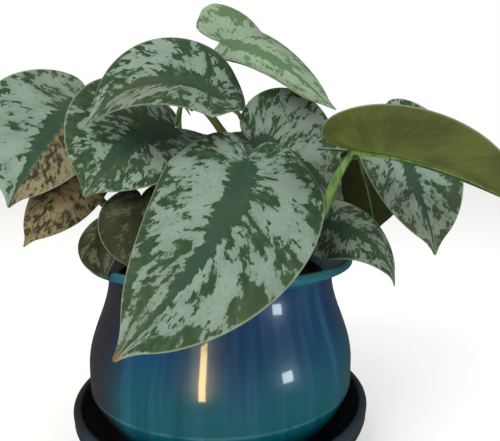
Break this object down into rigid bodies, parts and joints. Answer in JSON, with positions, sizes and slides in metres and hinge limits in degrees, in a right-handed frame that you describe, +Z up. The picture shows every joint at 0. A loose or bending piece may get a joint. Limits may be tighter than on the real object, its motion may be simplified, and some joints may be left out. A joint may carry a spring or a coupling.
{
  "type": "potted satin pothos",
  "caption": "Satin pothos with silver-marked heart-shaped leaves on arching stems, growing in a glazed bellied pot that rests on a deep saucer.",
  "frame": {"origin": "centre of the saucer's flat base, on the ground", "axes": "+Z up; -Y is the front, the side that the picture shows; +X is to the right seen from the front"},
  "size_m": [0.2883, 0.2282, 0.2716],
  "materials": {
    "blue_glaze": "glossy deep blue-green glaze",
    "saucer_glaze": "glossy near-black blue glaze",
    "potting_soil": "crumbly, dull",
    "leaves": "satin, silver markings on dark green"
  },
  "bodies": {
    "root": {"pot": "blue_glaze", "saucer": "saucer_glaze", "soil": "potting_soil", "stem_front": "leaves", "stem_left": "leaves", "stem_far_left": "leaves", "stem_low_left": "leaves", "stem_top": "leaves", "stem_right": "leaves", "stem_back_left": "leaves", "stem_back_right": "leaves"}
  },
  "joints": []
}
